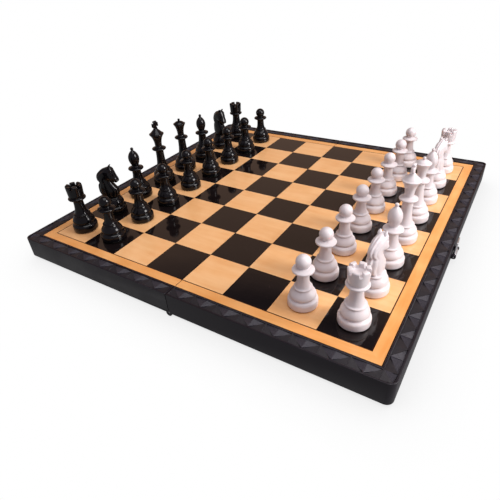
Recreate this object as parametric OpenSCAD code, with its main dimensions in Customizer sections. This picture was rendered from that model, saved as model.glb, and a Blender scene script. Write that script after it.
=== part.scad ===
// Folding magnetic chess set, laid open flat with all 32 pieces in their places.
// Origin: centre of the resting plane, under the seam. +Z up, +X from the black
// side to the white side, +Y from file a to file h. Millimetres.

/* [Board] */
// Side of one playing square
square = 35; // [33:0.5:38]
// Printed border strip outside the squares
border_w = 8.8; // [7:0.1:11]
// Moulded frame outside the border strip
frame_w = 10.3; // [9:0.1:12]
// Height of the case from its mouth rim to the top of the frame
case_h = 17.6; // [16:0.1:22]
// Wall thickness of the moulded case
wall = 2.2; // [1.8:0.1:3]
// Thickness of the case's deck
deck_t = 2; // [1.5:0.1:3]
// Height of the frame above the playing surface
lip_h = 0.6; // [0.4:0.1:1.5]
// Radius of the case's outer vertical corners
corner_r = 5; // [3:0.5:6]
// Gap between the two halves when they lie open
seam_gap = 0.6; // [0.4:0.1:1]

/* [Sheets] */
// Thickness of the steel sheet that the magnets hold to
steel_t = 0.4; // [0.3:0.1:0.6]
// Thickness of the printed playing sheet
print_t = 0.4; // [0.3:0.1:0.6]

/* [Hinge] */
// Radius of the hinge knuckles
knuckle_r = 2.6; // [2.4:0.1:3.5]
// Length of one knuckle along the hinge
knuckle_l = 7; // [6:0.5:12]
// Radius of the hinge pins
pin_r = 1.2; // [1:0.05:1.4]
// Radial running clearance of every pin
pin_play = 0.03; // [0.02:0.01:0.06]

/* [Clasp] */
// Width of the clasp lever
clasp_w = 10; // [8:0.5:14]
// Length of the clasp lever from its pin to its tip
clasp_l = 11.5; // [11:0.1:12]

/* [Pieces] */
// Height of the king
king_h = 63; // [60:0.5:66]
// Height of the queen
queen_h = 55; // [53:0.5:58]
// Height of the bishop
bishop_h = 49; // [47:0.5:52]
// Height of the rook
rook_h = 42; // [40:0.5:45]
// Height of the pawn
pawn_h = 39.2; // [38:0.2:42]
// Base radius of the king
king_r = 11.2; // [10.5:0.1:13]
// Base radius of the queen
queen_r = 11.4; // [10.5:0.1:13]
// Base radius of the bishop and of the knight
minor_r = 10.9; // [10:0.1:12.5]
// Base radius of the rook
rook_r = 10.5; // [10:0.1:12]
// Base radius of the pawn
pawn_r = 10.1; // [9.5:0.1:11.5]
// Turn of the knights on b8, g8, b1 and g1 about their own axes
knight_turn = [28, -15, 76, 78]; // [0:1:360]

/* [Hidden] */
FILES = ["a", "b", "c", "d", "e", "f", "g", "h"];
// Piece on each file of a back row
BACK_ROW = ["rook", "knight", "bishop", "king", "queen", "bishop", "knight", "rook"];
BOARD_NODES = ["white_case_half", "black_case_half", "white_steel_sheet", "black_steel_sheet",
               "white_print_sheet", "black_print_sheet", "near_hinge_pin", "far_hinge_pin",
               "clasp_lever", "clasp_pin"];
function piece_node(side, kind, f) = str(side, "_", kind, "_", FILES[f]);

$fn = 64;
// Heights above the resting plane, and places across the board
fit_gap = 0.1;
rim_gap = 0.15;
axis_z = knuckle_r;
rim_z = axis_z + rim_gap;
frame_top = rim_z + case_h;
play_z = frame_top - lip_h;
recess_z = play_z - print_t - steel_t;
deck_z = recess_z - deck_t;
seam_edge = seam_gap / 2;
grid_x = seam_edge + fit_gap;
recess_end = grid_x + 4 * square + border_w + fit_gap;
recess_y = 4 * square + border_w + fit_gap;
half_x = recess_end + frame_w;
half_y = recess_y + frame_w;

// Rails on both edges of the frame, and the channel between them
rail_w = 1.4;
channel_d = 1;

// Hinge
knuckle_gap = 0.3;
notch_r = knuckle_r + 0.3;
pin_l = 2 * knuckle_l + knuckle_gap - 1;

// Posts inside the trays: two end in pegs, two hold the sockets that the pegs enter
post_r = 3.8;
peg_r = 2;
socket_r = peg_r + 0.2;
socket_d = 3.6;
post_x = half_x - wall - post_r + 0.6;
corner_post_y = half_y - wall - post_r + 0.6;
middle_post_y = 2 * square;

// Clasp: its pin, the ears that carry it, the lever's window and the catch
clasp_pin_r = 0.6;
barrel_r = 1.45;
ear_r = 1.7;
ear_w = 2;
clasp_t = 0.9;
clasp_x = half_x + 1.9;
clasp_z = axis_z + 5;
window_w = 6;
window_h = 3;
tip_bar = 1.2;
catch_w = 5.2;
catch_h = 2.4;
catch_d = clasp_x - half_x + ear_r;

// Chess pieces: felt under the foot, base ring, magnet, and the air round what is glued
foot_z = 0.5;
ring_h = 7;
magnet_r = 6;
magnet_t = 2.5;
skin = 0.1;
black = "#1b171b";
ivory = "#e9e2e0";

// ---------------------------------------------------------------- outlines

// Points along a round arc in the (radius, height) plane
function arc(r, z, rad, from, to, steps = 6) =
    [for (i = [0:steps]) let (a = from + (to - from) * i / steps) [r + rad * cos(a), z + rad * sin(a)]];

// Points along a cubic curve with four control points
function curve(a, b, c, d, steps = 6) =
    [for (i = [0:steps]) let (t = i / steps, u = 1 - t)
        u * u * u * a + 3 * u * u * t * b + 3 * u * t * t * c + t * t * t * d];

// Base ring with a rounded foot and shoulder, then the groove above it
function base_ring(r) = concat(
    [[0, foot_z]],
    arc(r - 1, foot_z + 1, 1, -90, 0),
    arc(r - 1.8, ring_h - 1.8, 1.8, 0, 70),
    [[r - 2.3, ring_h + 0.4], [r - 1.5, ring_h + 1.2]]);

// Bell dome from the groove up to a neck of radius neck at height top
function bell(r, neck, top) =
    curve([r - 1.2, ring_h + 1.8], [r - 1.5, ring_h + 4.6], [neck + 1.5, top - 2.2], [neck, top]);

// Small half-round step above the bell
function step_ring(r, z) = arc(r, z, 0.7, -90, 90, 4);

// Flat disc with a round edge: radius r at height z, on a stem of radius stem
function collar(r, z, stem, above) = concat(
    [[stem, z - 2.3], [r - 1.3, z - 1.2]],
    arc(r - 0.9, z, 0.9, -60, 60, 4),
    [[r - 1.6, z + 1.1], [above, z + 2.2]]);

function pawn_outline() = let (head_r = 5, head_z = pawn_h - head_r) concat(
    base_ring(pawn_r),
    bell(pawn_r, 5.7, 14.1),
    step_ring(5.6, 14.9),
    curve([5.1, 15.7], [4.2, 18], [3.8, 20.5], [3.8, 25.8]),
    collar(7.3, 28.3, 3.8, 3.6),
    arc(0, head_z, head_r, -38, 90, 12));

function rook_outline() = concat(
    base_ring(rook_r),
    bell(rook_r, 6.7, 14.4),
    step_ring(6.5, 15.2),
    curve([6, 16], [4.7, 18.6], [4.1, 22], [4.1, 27.6]),
    collar(7.4, 30.2, 4.1, 6.3),
    curve([6.4, 32.7], [6.5, 35], [6.7, 38], [6.9, rook_h]),
    [[3.9, rook_h], [3.9, rook_h - 3.4], [0, rook_h - 3.4]]);

function bishop_outline() = concat(
    base_ring(minor_r),
    bell(minor_r, 6.7, 13.8),
    step_ring(6.5, 14.6),
    curve([6, 15.4], [4.6, 18.6], [4.1, 21.5], [4.1, 26.2]),
    collar(7.3, 28.7, 4.1, 3.3),
    curve([3.1, 31.6], [4.2, 34], [7.9, 40.5], [1.1, bishop_h - 2.8], 12),
    arc(0, bishop_h - 1.5, 1.5, -48, 90, 8));

function royal_foot(r) = concat(
    base_ring(r),
    bell(r, 7.1, 13.2),
    step_ring(6.9, 14),
    curve([6.4, 14.8], [4.6, 18.6], [3.9, 23], [3.9, 33]));

function queen_outline() = let (rim = queen_h - 5.2) concat(
    royal_foot(queen_r),
    collar(7, 35.3, 3.9, 3.5),
    curve([3.3, 38.4], [3.3, 43], [4.3, rim - 3], [6.2, rim - 0.5]),
    [[6.2, rim], [5.5, rim + 0.3]],
    curve([5.2, rim + 0.4], [4, rim + 2.2], [2, rim + 2.3], [1, rim + 2.6]),
    arc(0, queen_h - 1.3, 1.3, -50, 90, 8));

function king_outline() = let (rim = king_h - 12.4) concat(
    royal_foot(king_r),
    collar(7, 35.6, 3.9, 3.5),
    curve([3.4, 38.6], [3.4, 43.5], [4.8, rim - 3], [7.1, rim - 0.6]),
    [[7.1, rim], [6.2, rim + 0.4]],
    curve([6, rim + 0.5], [4.6, rim + 2.6], [2.6, rim + 3.6], [1.9, rim + 5.3]),
    [[0, rim + 5.3]]);

function knight_foot() = concat(
    base_ring(minor_r),
    bell(minor_r, 7.3, 14),
    step_ring(7, 14.8),
    [[0, 15.5]]);

// Side view of the horse's head and neck: [forward, height]
function knight_outline() = concat(
    [[-6.6, 15.2], [-8.3, 16.6]],
    curve([-9.7, 19.8], [-10, 22.5], [-9.9, 25], [-8.3, 29.2], 4),
    curve([-9.4, 31.2], [-10, 34.5], [-8.6, 38], [-5.6, 40.2], 5),
    curve([-5.2, 41], [-2, 42.8], [2, 44.6], [5.6, 44.2], 4),
    curve([6.6, 42.6], [7.6, 39.5], [9, 35.5], [10.3, 31.4], 5),
    [[10, 29.8], [8.6, 29], [6.6, 29]],
    curve([5, 30], [3.2, 31], [3, 30], [4.6, 27.8], 4),
    curve([5.6, 26.2], [8.2, 23.4], [8.2, 20.4], [6.8, 15.2], 4));

// ---------------------------------------------------------------- places

// Centre of a file along the hinge, and of a row of squares across it
function file_y(f) = (f - 3.5) * square;
function row_x(side, row) = (side == "white" ? 1 : -1) * (grid_x + (3.5 - row) * square);

module on_square(side, row, f) translate([row_x(side, row), file_y(f), play_z + skin]) children();

// Moulded body with a blind pocket under it, disc magnet in the pocket, felt over both
module weighted(r, shade) {
    color(shade) difference() {
        children();
        translate([0, 0, foot_z - 1]) cylinder(r = magnet_r + skin, h = magnet_t + skin + 1);
    }
    color("dimgray") translate([0, 0, foot_z]) cylinder(r = magnet_r, h = magnet_t);
    color("darkgreen") cylinder(r = r - 1.4, h = foot_z - skin / 2);
}

// ---------------------------------------------------------------- pieces

module pawn(shade) weighted(pawn_r, shade) rotate_extrude() polygon(pawn_outline());

module rook(shade) weighted(rook_r, shade) difference() {
    rotate_extrude() polygon(rook_outline());
    for (turn = [0:60:120])
        rotate([0, 0, turn]) translate([-rook_r, -1.2, rook_h - 2.8]) cube([2 * rook_r, 2.4, 4]);
}

module bishop(shade) weighted(minor_r, shade) rotate_extrude() polygon(bishop_outline());

module queen(shade) weighted(queen_r, shade) rotate_extrude() polygon(queen_outline());

// One arm of the cross: narrow at the middle, wide at the end
module cross_arm(reach) polygon([[-1.1, 0], [1.1, 0], [2.1, reach], [-2.1, reach]]);

module king(shade) weighted(king_r, shade) union() {
    rotate_extrude() polygon(king_outline());
    translate([0, 1.2, king_h - 3.7]) rotate([90, 0, 0]) linear_extrude(2.4) {
        for (turn = [0:90:270]) rotate(turn) cross_arm(3.7);
        translate([-1.6, -4.6]) square([3.2, 3]);
    }
}

module knight(shade) weighted(minor_r, shade) union() {
    rotate_extrude() polygon(knight_foot());
    translate([0, 4.8, 0]) rotate([90, 0, 0]) linear_extrude(9.6) polygon(knight_outline());
}

module back_row_piece(side, f) {
    shade = side == "white" ? ivory : black;
    kind = BACK_ROW[f];
    knight_index = (side == "white" ? 2 : 0) + (f > 3 ? 1 : 0);
    on_square(side, 0, f) {
        if (kind == "rook") rook(shade);
        if (kind == "bishop") bishop(shade);
        if (kind == "queen") queen(shade);
        if (kind == "king") rotate([0, 0, 90]) king(shade);
        if (kind == "knight") rotate([0, 0, knight_turn[knight_index]]) knight(shade);
    }
}

// ---------------------------------------------------------------- case

// Plan of one half, drawn in by inset: square corners at the seam, round ones outside
module half_plan(inset = 0) {
    r = corner_r - inset;
    from = seam_edge + inset;
    to = half_x - inset;
    side = half_y - inset;
    translate([from, -side]) square([to - r - from, 2 * side]);
    translate([from, r - side]) square([to - from, 2 * (side - r)]);
    for (end = [-1, 1]) translate([to - r, end * (side - r)]) circle(r);
}

// Shallow channel in the frame, between a rail at the case's edge and one round the recess
module frame_channel() translate([0, 0, frame_top - channel_d]) linear_extrude(2 * channel_d) difference() {
    half_plan(rail_w);
    translate([0, -recess_y - rail_w]) square([recess_end + rail_w, 2 * (recess_y + rail_w)]);
}

module tray() difference() {
    translate([0, 0, rim_z]) linear_extrude(case_h) half_plan();
    translate([seam_edge + wall, wall - half_y, 0])
        cube([half_x - seam_edge - 2 * wall, 2 * (half_y - wall), deck_z]);
    translate([0, -recess_y, recess_z]) cube([recess_end, 2 * recess_y, 9]);
    frame_channel();
}

// Corner or edge post inside the tray, down from the deck to the rim
module post(y) translate([post_x, y, rim_z]) cylinder(r = post_r, h = deck_z - rim_z + 0.5);
module peg(y) translate([post_x, y, 0]) cylinder(r = peg_r, h = rim_z + 2);
module socket(y) translate([post_x, y, 0]) cylinder(r = socket_r, h = rim_z + socket_d);

module along_hinge(y, r, l) translate([0, y, axis_z]) rotate([-90, 0, 0]) cylinder(r = r, h = l);

// One half of the case, on the +X side: both halves come from this one shape
module case_half() difference() {
    union() {
        difference() {
            union() {
                tray();
                for (y = [corner_post_y, -corner_post_y, middle_post_y, -middle_post_y]) post(y);
            }
            along_hinge(-half_y + knuckle_l, notch_r, knuckle_l + 2 * knuckle_gap);
            along_hinge(half_y - knuckle_l - knuckle_gap, notch_r, knuckle_l + 2 * knuckle_gap);
            socket(-corner_post_y);
            socket(middle_post_y);
        }
        peg(corner_post_y);
        peg(-middle_post_y);
        along_hinge(-half_y, knuckle_r, knuckle_l);
        along_hinge(half_y - 2 * knuckle_l - knuckle_gap, knuckle_r, knuckle_l);
    }
    along_hinge(-half_y - 1, pin_r + pin_play, knuckle_l + 2);
    along_hinge(half_y - 2 * knuckle_l - knuckle_gap - 1, pin_r + pin_play, knuckle_l + 2);
}

// Ear that carries one end of the clasp pin
module clasp_ear(y) translate([0, y, 0]) {
    translate([clasp_x, 0, clasp_z]) rotate([-90, 0, 0]) cylinder(r = ear_r, h = ear_w);
    translate([half_x - 1, 0, clasp_z - ear_r]) cube([clasp_x - half_x + 1, ear_w, 2 * ear_r]);
}

module white_case_half() color(black) difference() {
    union() {
        case_half();
        clasp_ear(clasp_w / 2 + 0.3);
        clasp_ear(-clasp_w / 2 - 0.3 - ear_w);
    }
    translate([clasp_x, -clasp_w, clasp_z]) rotate([-90, 0, 0])
        cylinder(r = clasp_pin_r + pin_play, h = 2 * clasp_w);
}

// Block that the clasp's window snaps over when the case is closed
module clasp_catch() {
    window_mid = clasp_l - tip_bar - window_h / 2 - (clasp_z - axis_z);
    translate([-half_x - catch_d, -catch_w / 2, axis_z + window_mid - catch_h / 2])
        cube([catch_d + 1, catch_w, catch_h]);
}

module black_case_half() color(black) {
    rotate([0, 0, 180]) case_half();
    clasp_catch();
}

module sheet(z, t) translate([grid_x, fit_gap - recess_y, z])
    cube([recess_end - grid_x - fit_gap, 2 * (recess_y - fit_gap), t]);

module white_steel_sheet() color("silver") sheet(recess_z, steel_t);
module black_steel_sheet() color("silver") rotate([0, 0, 180]) sheet(recess_z, steel_t);

// Printed sheet, glued over the steel one
module print_sheet() sheet(recess_z + steel_t, print_t);
module white_print_sheet() color("#fabe82") print_sheet();
module black_print_sheet() color("#fabe82") rotate([0, 0, 180]) print_sheet();

// ---------------------------------------------------------------- metal parts

module near_hinge_pin() color("silver") along_hinge(0.5 - half_y, pin_r, pin_l);
module far_hinge_pin() color("silver") along_hinge(half_y - 0.5 - pin_l, pin_r, pin_l);

module clasp_lever() color("gainsboro") difference() {
    union() {
        translate([clasp_x, -clasp_w / 2, clasp_z]) rotate([-90, 0, 0]) cylinder(r = barrel_r, h = clasp_w);
        translate([clasp_x - clasp_t / 2, -clasp_w / 2, clasp_z]) cube([clasp_t, clasp_w, clasp_l]);
    }
    translate([clasp_x, -clasp_w, clasp_z]) rotate([-90, 0, 0])
        cylinder(r = clasp_pin_r + pin_play, h = 2 * clasp_w);
    translate([half_x, -window_w / 2, clasp_z + clasp_l - tip_bar - window_h]) cube([5, window_w, window_h]);
}

module clasp_pin() color("silver") translate([clasp_x, -clasp_w / 2 - 0.3 - ear_w, clasp_z])
    rotate([-90, 0, 0]) cylinder(r = clasp_pin_r, h = clasp_w + 0.6 + 2 * ear_w);

// ---------------------------------------------------------------- nodes

white_case_half();
black_case_half();
white_steel_sheet();
black_steel_sheet();
white_print_sheet();
black_print_sheet();
near_hinge_pin();
far_hinge_pin();
clasp_lever();
clasp_pin();
for (side = ["white", "black"], f = [0:7]) {
    back_row_piece(side, f);
    on_square(side, 1, f) pawn(side == "white" ? ivory : black);
}
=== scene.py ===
# %% [markdown]
# A folding magnetic chess set, laid open as a board
#
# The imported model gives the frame: two case halves, their sheets, pins, clasp and 32
# chess pieces, each where it stands. This script dresses that frame. It turns every
# chess piece from an outline, rounds the edges of the moulded case, presses the
# faceted pattern into its rim, prints the wood squares, and lights it all like a
# product on a white table. Everything is in metres, in the frame's own axes: +X runs
# from the black side to the white side, +Y along the hinge, and +Z up.

# %% Load the frame
import math

import bmesh
import bpy
import numpy as np
from mathutils import Matrix, Vector


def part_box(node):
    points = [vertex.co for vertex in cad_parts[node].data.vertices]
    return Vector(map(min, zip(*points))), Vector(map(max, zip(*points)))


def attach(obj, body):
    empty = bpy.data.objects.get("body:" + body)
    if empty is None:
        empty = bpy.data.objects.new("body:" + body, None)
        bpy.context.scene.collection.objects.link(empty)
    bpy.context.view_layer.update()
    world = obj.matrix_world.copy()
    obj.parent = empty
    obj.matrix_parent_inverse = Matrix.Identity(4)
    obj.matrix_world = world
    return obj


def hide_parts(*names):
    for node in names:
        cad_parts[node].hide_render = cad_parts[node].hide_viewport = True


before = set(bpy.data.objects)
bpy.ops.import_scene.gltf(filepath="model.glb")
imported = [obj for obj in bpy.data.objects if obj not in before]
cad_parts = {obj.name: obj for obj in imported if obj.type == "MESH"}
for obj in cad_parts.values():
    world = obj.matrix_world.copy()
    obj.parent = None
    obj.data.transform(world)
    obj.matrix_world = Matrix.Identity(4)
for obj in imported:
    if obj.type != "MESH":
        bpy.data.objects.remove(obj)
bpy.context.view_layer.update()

# %% [markdown]
# Measure the board
#
# A pattern that has to line up with the model takes its sizes from the model. The pawns
# stand one to a square, so two neighbours give the size of a square, and the pawns on
# each side of the seam give where the squares begin. The printed sheet's box gives the
# playing surface and the border, and the case's box gives the outer edge.

# %% Read the sizes from the boxes
FILES = "abcdefgh"
SIDES = ("white", "black")
BACK_ROW = ("rook", "knight", "bishop", "king", "queen", "bishop", "knight", "rook")


def middle(node):
    """Middle of a node's box."""
    low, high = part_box(node)
    return (low + high) / 2


square = middle("white_pawn_b").y - middle("white_pawn_a").y
grid_x = middle("white_pawn_a").x - 2.5 * square
sheet_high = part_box("white_print_sheet")[1]
play_z = sheet_high.z
foot_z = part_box("white_pawn_a")[0].z
case_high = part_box("white_case_half")[1]
half_y = case_high.y
half_x = -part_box("black_steel_sheet")[0].x + half_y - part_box("black_steel_sheet")[1].y
frame_top = case_high.z
print(f"square {square * 1000:.1f} mm, squares start {grid_x * 1000:.2f} mm from the seam")
print(f"half a case ends {half_x * 1000:.1f} mm out, its frame is {frame_top * 1000:.2f} mm high")

# %% [markdown]
# The camera
#
# It comes first, because every choice of detail depends on what it sees. The set is
# seen from its white side's near corner, from a little above, and the camera is
# slightly rolled. Three angles and a point describe it: the view direction follows from
# azimuth and elevation, and the roll turns the other two axes about it.

# %% Camera
AZIMUTH, ELEVATION, ROLL = 0.5926, 0.6047, -0.069
EYE_IN_SQUARES = (5.1348, -9.0455, 5.498)
FOCAL_LENGTH, SENSOR = 31.03, 36


def camera_axes(azimuth, elevation, roll):
    """Right, up and backward axes of a camera that looks along the given angles."""
    forward = np.array([-math.cos(elevation) * math.sin(azimuth),
                        math.cos(elevation) * math.cos(azimuth), -math.sin(elevation)])
    right = np.cross(forward, [0, 0, 1])
    right /= np.linalg.norm(right)
    up = np.cross(right, forward)
    return (right * math.cos(roll) + up * math.sin(roll),
            up * math.cos(roll) - right * math.sin(roll), -forward)


eye = np.array(EYE_IN_SQUARES) * square + [0, 0, play_z]
camera_data = bpy.data.cameras.new("camera")
camera_data.lens, camera_data.sensor_width = FOCAL_LENGTH, SENSOR
camera_data.clip_start = 0.01
camera = bpy.data.objects.new("camera", camera_data)
bpy.context.scene.collection.objects.link(camera)
turn = Matrix(np.stack(camera_axes(AZIMUTH, ELEVATION, ROLL), 1).tolist()).to_4x4()
camera.matrix_world = Matrix.Translation(eye.tolist()) @ turn
bpy.context.scene.camera = camera
print("camera at", [round(float(c), 3) for c in eye])

# %% [markdown]
# Node helpers
#
# A procedural finish is a small graph. These three calls keep the graphs below short:
# one makes any node and fills its sockets, one does arithmetic on numbers, and one
# mixes two colours. Colours are written as the eye sees them, from 0 to 255, and turned
# into the linear light that the shader works in.

# %% Node helpers
def linear(red, green, blue):
    """Linear colour for a display colour: (c + 0.055) / 1.055 to the power 2.4 above a small toe."""
    c = np.array([red, green, blue]) / 255
    return tuple(np.where(c < 0.04045, c / 12.92, ((c + 0.055) / 1.055) ** 2.4)) + (1.0,)


def fill(tree, socket, value):
    """Links an output to a socket, or sets the socket to a plain value."""
    if isinstance(value, bpy.types.NodeSocket):
        tree.links.new(value, socket)
    else:
        socket.default_value = value


def add(tree, kind, sockets=None, **options):
    """A new shader node with its options set and its named sockets filled."""
    made = tree.nodes.new("ShaderNode" + kind)
    for name, value in options.items():
        setattr(made, name, value)
    for name, value in (sockets or {}).items():
        fill(tree, made.inputs[name], value)
    return made


def calc(tree, operation, *values):
    """The result of one arithmetic step on numbers."""
    made = add(tree, "Math", operation=operation)
    for socket, value in zip(made.inputs, values):
        fill(tree, socket, value)
    return made.outputs[0]


def mix(tree, share, first, second):
    """A colour that is first where share is 0 and second where it is 1."""
    made = add(tree, "Mix", data_type="RGBA")
    for index, value in ((0, share), (6, first), (7, second)):
        fill(tree, made.inputs[index], value)
    return made.outputs[2]


def noise(tree, where, scale, detail=3.0, roughness=0.5):
    """Soft random values around 0.5, with features about 1 / scale metres across."""
    return add(tree, "TexNoise", {"Vector": where, "Scale": scale, "Detail": detail,
                                  "Roughness": roughness}).outputs["Fac"]


def remap(tree, value, low, high, to_low, to_high):
    """value stretched from one range to another, and held inside it."""
    return add(tree, "MapRange", {"Value": value, "From Min": low, "From Max": high,
                                  "To Min": to_low, "To Max": to_high}).outputs[0]


def bump(tree, height, strength, distance):
    """Surface normals tilted as if height stood out by distance."""
    return add(tree, "Bump", {"Height": height, "Strength": strength,
                              "Distance": distance}).outputs[0]


def new_material(name):
    """A material with its node tree, its main shader and the object's own coordinates."""
    made = bpy.data.materials.new(name)
    made.use_nodes = True
    tree = made.node_tree
    shader = tree.nodes["Principled BSDF"]
    where = add(tree, "TexCoord").outputs["Object"]
    return made, tree, shader, where


print("helpers ready")

# %% [markdown]
# Moulded plastics
#
# Three plastics show: the satin black case, whose hatched facets look duller and paler,
# the glossy black pieces and the off-white pieces. None is a flat colour. A moulded
# surface has a fine spark texture or faint flow marks, which tilt its highlights, and its
# gloss changes from place to place where hands polish it. So each material drives
# roughness and bump from noise at two sizes, and lets the colour drift a little.

# %% Plastics
def plastic(name, dark, light, gloss, texture_scale, texture_height, wave_height):
    """Plastic whose colour drifts from dark to light and whose roughness stays in gloss."""
    made, tree, shader, where = new_material(name)
    patches = noise(tree, where, 55, 2)
    grain = noise(tree, where, texture_scale, 3)
    fill(tree, shader.inputs["Base Color"], mix(tree, patches, dark, light))
    fill(tree, shader.inputs["Roughness"], remap(tree, patches, 0.3, 0.7, *gloss))
    waves = bump(tree, noise(tree, where, 130, 1), 0.5, wave_height)
    fine = add(tree, "Bump", {"Height": grain, "Strength": 0.6, "Distance": texture_height,
                              "Normal": waves})
    fill(tree, shader.inputs["Normal"], fine.outputs[0])
    return made, shader


case_plastic, case_shader = plastic(
    "case_plastic", linear(22, 17, 24), linear(30, 25, 33), (0.34, 0.46), 2600, 0.00006, 0.00002)
case_shader.inputs["Specular IOR Level"].default_value = 0.33
black_plastic, black_shader = plastic(
    "black_piece_plastic", linear(7, 6, 8), linear(13, 11, 14), (0.1, 0.2), 900, 0.00001, 0.00003)
black_shader.inputs["Specular IOR Level"].default_value = 0.32
hatched_plastic, _ = plastic(
    "hatched_plastic", linear(40, 37, 46), linear(50, 47, 56), (0.46, 0.6), 2600, 0.0001, 0.00002)
smooth_plastic, _ = plastic(
    "smooth_facet_plastic", linear(26, 23, 28), linear(35, 32, 38), (0.4, 0.5), 2600, 0.00006, 0.00002)
white_plastic, white_shader = plastic(
    "white_piece_plastic", linear(218, 209, 211), linear(230, 222, 223), (0.28, 0.4), 900, 0.00001,
    0.00003)
white_shader.inputs["Subsurface Weight"].default_value = 0.15
white_shader.inputs["Subsurface Scale"].default_value = 0.003
white_shader.inputs["Subsurface Radius"].default_value = (1.0, 0.8, 0.75)
print("plastics:", case_plastic.name, black_plastic.name, white_plastic.name)

# %% [markdown]
# Metals and felt
#
# The hinge pins and the clasp are plain steel and plated steel. Drawn wire and rolled
# sheet have fine lines along them, so the noise under their bump is stretched. The felt
# under a piece is short fibres: a rough, mottled cloth with a soft sheen.

# %% Metals and felt
def metal(name, colour, gloss, stretch):
    """Bare or plated metal with fine lines along the axis that stretch makes long."""
    made, tree, shader, where = new_material(name)
    lines = add(tree, "Mapping", {"Vector": where, "Scale": stretch}).outputs[0]
    streaks = noise(tree, lines, 1, 4, 0.6)
    shader.inputs["Base Color"].default_value = colour
    shader.inputs["Metallic"].default_value = 1.0
    fill(tree, shader.inputs["Roughness"], remap(tree, streaks, 0.3, 0.7, *gloss))
    fill(tree, shader.inputs["Normal"], bump(tree, streaks, 0.3, 0.00002))
    return made


def felt(name, dark, light):
    """Short dyed fibres: mottled colour, deep fine bump and a sheen."""
    made, tree, shader, where = new_material(name)
    fibres = noise(tree, where, 3500, 5, 0.7)
    fill(tree, shader.inputs["Base Color"], mix(tree, fibres, dark, light))
    fill(tree, shader.inputs["Normal"], bump(tree, fibres, 1.0, 0.0002))
    shader.inputs["Roughness"].default_value = 0.95
    shader.inputs["Sheen Weight"].default_value = 0.5
    return made


pin_steel = metal("pin_steel", linear(196, 196, 200), (0.22, 0.4), (9000, 300, 9000))
sheet_steel = metal("sheet_steel", linear(188, 188, 192), (0.3, 0.5), (200, 6000, 200))
clasp_metal = metal("clasp_metal", linear(226, 226, 230), (0.3, 0.42), (6000, 6000, 300))
green_felt = felt("green_felt", linear(18, 44, 30), linear(44, 84, 58))
magnet_grey = metal("magnet_grey", linear(92, 92, 96), (0.4, 0.6), (700, 700, 700))
print("metals and felt ready")

# %% [markdown]
# The printed sheet
#
# The squares and the border are one glossy print. Its pattern is arithmetic on the
# object's own coordinates: whole numbers of squares from the seam and from the middle
# give each square's column and row, and their sum is odd on a dark square. Outside the
# eight by eight field lies the border strip, set off by a thin dark line. The same dark
# colour, laid along the border's outer edge, is painted shade where the case's lip
# shades the print. The light wood has a soft figure that runs along the grain, a
# different piece of it in each square.
# A hard gloss lies over everything, a little wavy, so that it mirrors the pieces.

# %% Printed wood
def wood(tree, where, seed, along, light, dark):
    """Straight-grained light wood: noise stretched along the grain, bent by softer noise."""
    moved = add(tree, "VectorMath", {0: where, 1: seed}, operation="ADD").outputs[0]
    bent = add(tree, "VectorMath", {0: add(tree, "TexNoise", {"Vector": moved, "Scale": 22,
                                                              "Detail": 1}).outputs["Color"]},
               operation="SCALE")
    bent.inputs["Scale"].default_value = 0.012
    swirled = add(tree, "VectorMath", {0: moved, 1: bent.outputs[0]}, operation="ADD").outputs[0]
    grain = add(tree, "Mapping", {"Vector": swirled, "Scale": along}).outputs[0]
    streaks = noise(tree, grain, 1, 4, 0.55)
    clouds = noise(tree, moved, 50, 2)
    share = calc(tree, "ADD", calc(tree, "MULTIPLY", streaks, 0.55), calc(tree, "MULTIPLY", clouds, 0.45))
    return mix(tree, remap(tree, share, 0.36, 0.64, 0, 1), light, dark)


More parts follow.
